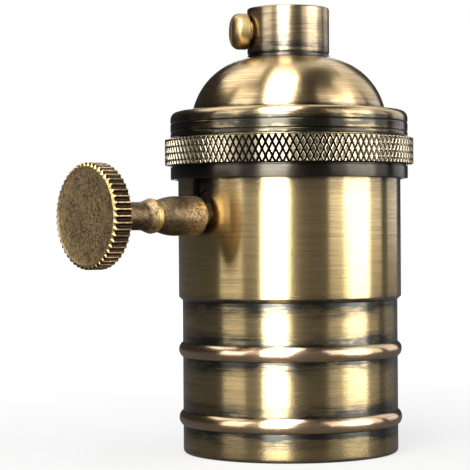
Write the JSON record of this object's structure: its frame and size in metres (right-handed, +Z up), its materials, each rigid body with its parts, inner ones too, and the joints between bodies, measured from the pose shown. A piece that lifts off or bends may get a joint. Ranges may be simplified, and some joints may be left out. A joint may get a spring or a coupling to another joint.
{
  "type": "lamp holder",
  "caption": "Hanging screw lamp holder with a domed cap, a knurled union ring, a beaded metal shell and a turn-knob switch on its side.",
  "frame": {"origin": "centre of the neck's mouth, at the top of the threaded bore for the pipe", "axes": "+Z up along the neck's bore, away from the lamp; the knob's shaft points along -X"},
  "size_m": [0.06, 0.04, 0.0713],
  "materials": {
    "antique_brass": "brushed, darkened in the recesses",
    "dark_brass": "cast, mottled dark patina with worn edges",
    "polished_brass": "polished",
    "bare_brass": "bare, as pressed or turned",
    "plated_steel": "zinc plated",
    "porcelain": "glazed porcelain",
    "moulding": "dark phenolic moulding"
  },
  "bodies": {
    "cap": {"cap_dome": "antique_brass", "cap_ferrule": "bare_brass", "neck_bush": "antique_brass", "earth_tab": "bare_brass", "earth_screw": "bare_brass"},
    "ring": {"knurled_ring": "antique_brass"},
    "shell": {"outer_shell": "antique_brass", "porcelain_base": "porcelain", "screw_shell": "bare_brass", "centre_contact": "bare_brass", "centre_rivet": "bare_brass", "socket_screws": "plated_steel", "socket_nuts": "plated_steel", "switch_body": "moulding", "switch_cover": "moulding", "line_terminal": "bare_brass", "neutral_terminal": "bare_brass", "terminal_screws": "plated_steel", "line_contact_spring": "bare_brass", "load_contact_spring": "bare_brass", "shaft_bush": "bare_brass"},
    "knob": {"switch_knob": "dark_brass", "switch_shaft": "bare_brass", "switch_rotor": "moulding", "rotor_contact": "bare_brass", "shaft_clip": "plated_steel"},
    "lock_screw": {"neck_lock_screw": "polished_brass"}
  },
  "joints": [
    {"name": "ring_turn", "type": "hinge", "parent": "cap", "child": "ring", "pos_m": [0, 0, -0.02423], "axis": [0, 0, 1], "range_deg": [0, 1440]},
    {"name": "shell_draw", "type": "slide", "parent": "cap", "child": "shell", "axis": [0, 0, -1], "range_m": [0, 0.004]},
    {"name": "knob_turn", "type": "hinge", "parent": "shell", "child": "knob", "pos_m": [0, 0, -0.03338], "axis": [-1, 0, 0], "continuous": true},
    {"name": "lock_screw_travel", "type": "slide", "parent": "cap", "child": "lock_screw", "axis": [-0.8949, 0.4462, 0], "range_m": [0, 0.002]}
  ],
  "couplings": [
    {"joint": "ring_turn", "follows": "shell_draw", "rad_per_m": 6283.2}
  ]
}
